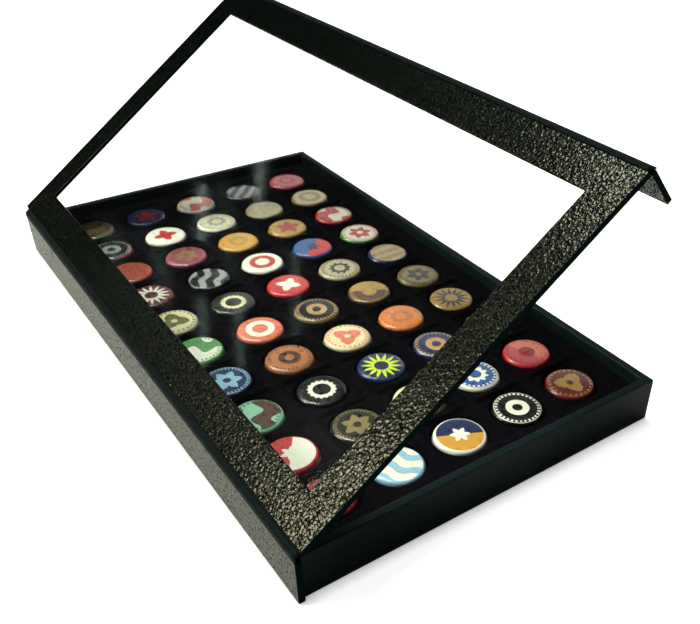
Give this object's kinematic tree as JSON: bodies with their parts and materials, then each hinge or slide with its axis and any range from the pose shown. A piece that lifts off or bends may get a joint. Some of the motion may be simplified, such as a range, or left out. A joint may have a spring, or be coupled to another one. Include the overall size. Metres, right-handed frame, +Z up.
{
  "type": "bottle cap display case",
  "caption": "Shallow glazed display case for bottle caps: a velvet cell insert in a covered tray, with a book-style hinged lid and a closing flap.",
  "frame": {"origin": "centre of the tray's underside, on the surface that the case lies on", "axes": "+X along the long walls, +Y to the spine and lid hinge, +Z up; rest pose has the lid open at 35 degrees"},
  "size_m": [0.375, 0.2127, 0.1504],
  "materials": {
    "greyboard": "raw bookbinding board",
    "base_paper": "black embossed paper",
    "pebble_leatherette": "black leatherette, coarse glossy pebble grain",
    "fine_leatherette": "black leatherette, fine satin grain",
    "hinge_leatherette": "black leatherette, creased at the joint",
    "lining_paper": "black grained lining paper",
    "foam": "soft foam core",
    "velvet": "black velvet pile",
    "cap_tinplate": "lacquered tinplate in plain colours",
    "cap_seal": "soft white seal",
    "window_glass": "clear pane",
    "keeper_steel": "plain steel",
    "magnet": "plated magnet"
  },
  "bodies": {
    "tray": {"base_paper": "base_paper", "tray_floor": "greyboard", "front_wall": "greyboard", "back_wall": "greyboard", "near_end_wall": "greyboard", "far_end_wall": "greyboard", "wall_cover": "fine_leatherette", "wall_keepers": "keeper_steel", "spine_board": "greyboard", "spine_cover": "fine_leatherette", "lid_hinge_strip": "hinge_leatherette", "foam_pad": "foam", "velvet_floor": "velvet", "border_strip_front": "velvet", "border_strip_back": "velvet", "border_strip_near": "velvet", "border_strip_far": "velvet", "long_divider_1": "velvet", "long_divider_2": "velvet", "long_divider_3": "velvet", "long_divider_4": "velvet", "cross_divider_1": "velvet", "cross_divider_2": "velvet", "cross_divider_3": "velvet", "cross_divider_4": "velvet", "cross_divider_5": "velvet", "cross_divider_6": "velvet", "cross_divider_7": "velvet", "cross_divider_8": "velvet", "cross_divider_9": "velvet", "cap_row_1": "cap_tinplate", "cap_row_2": "cap_tinplate", "cap_row_3": "cap_tinplate", "cap_row_4": "cap_tinplate", "cap_row_5": "cap_tinplate", "cap_row_6": "cap_tinplate", "cap_row_7": "cap_tinplate", "cap_row_8": "cap_tinplate", "cap_row_9": "cap_tinplate", "cap_row_10": "cap_tinplate", "cap_seals": "cap_seal"},
    "lid": {"lid_board": "greyboard", "lid_spacer": "greyboard", "lid_glass": "window_glass", "lid_cover": "pebble_leatherette", "lid_lining": "lining_paper", "flap_hinge_strip": "hinge_leatherette"},
    "flap": {"flap_board": "greyboard", "flap_cover": "pebble_leatherette", "flap_lining": "lining_paper", "flap_magnets": "magnet"}
  },
  "joints": [
    {"name": "lid_hinge", "type": "hinge", "parent": "tray", "child": "lid", "pos_m": [0, 0.10795, 0.024], "axis": [-1, 0, 0], "range_deg": [-35, 145], "deforming": ["lid_hinge_strip"]},
    {"name": "flap_hinge", "type": "hinge", "parent": "lid", "child": "flap", "pos_m": [0, -0.06587, 0.1506], "axis": [-1, 0, 0], "range_deg": [-6.2, 123.8], "deforming": ["flap_hinge_strip"]}
  ]
}
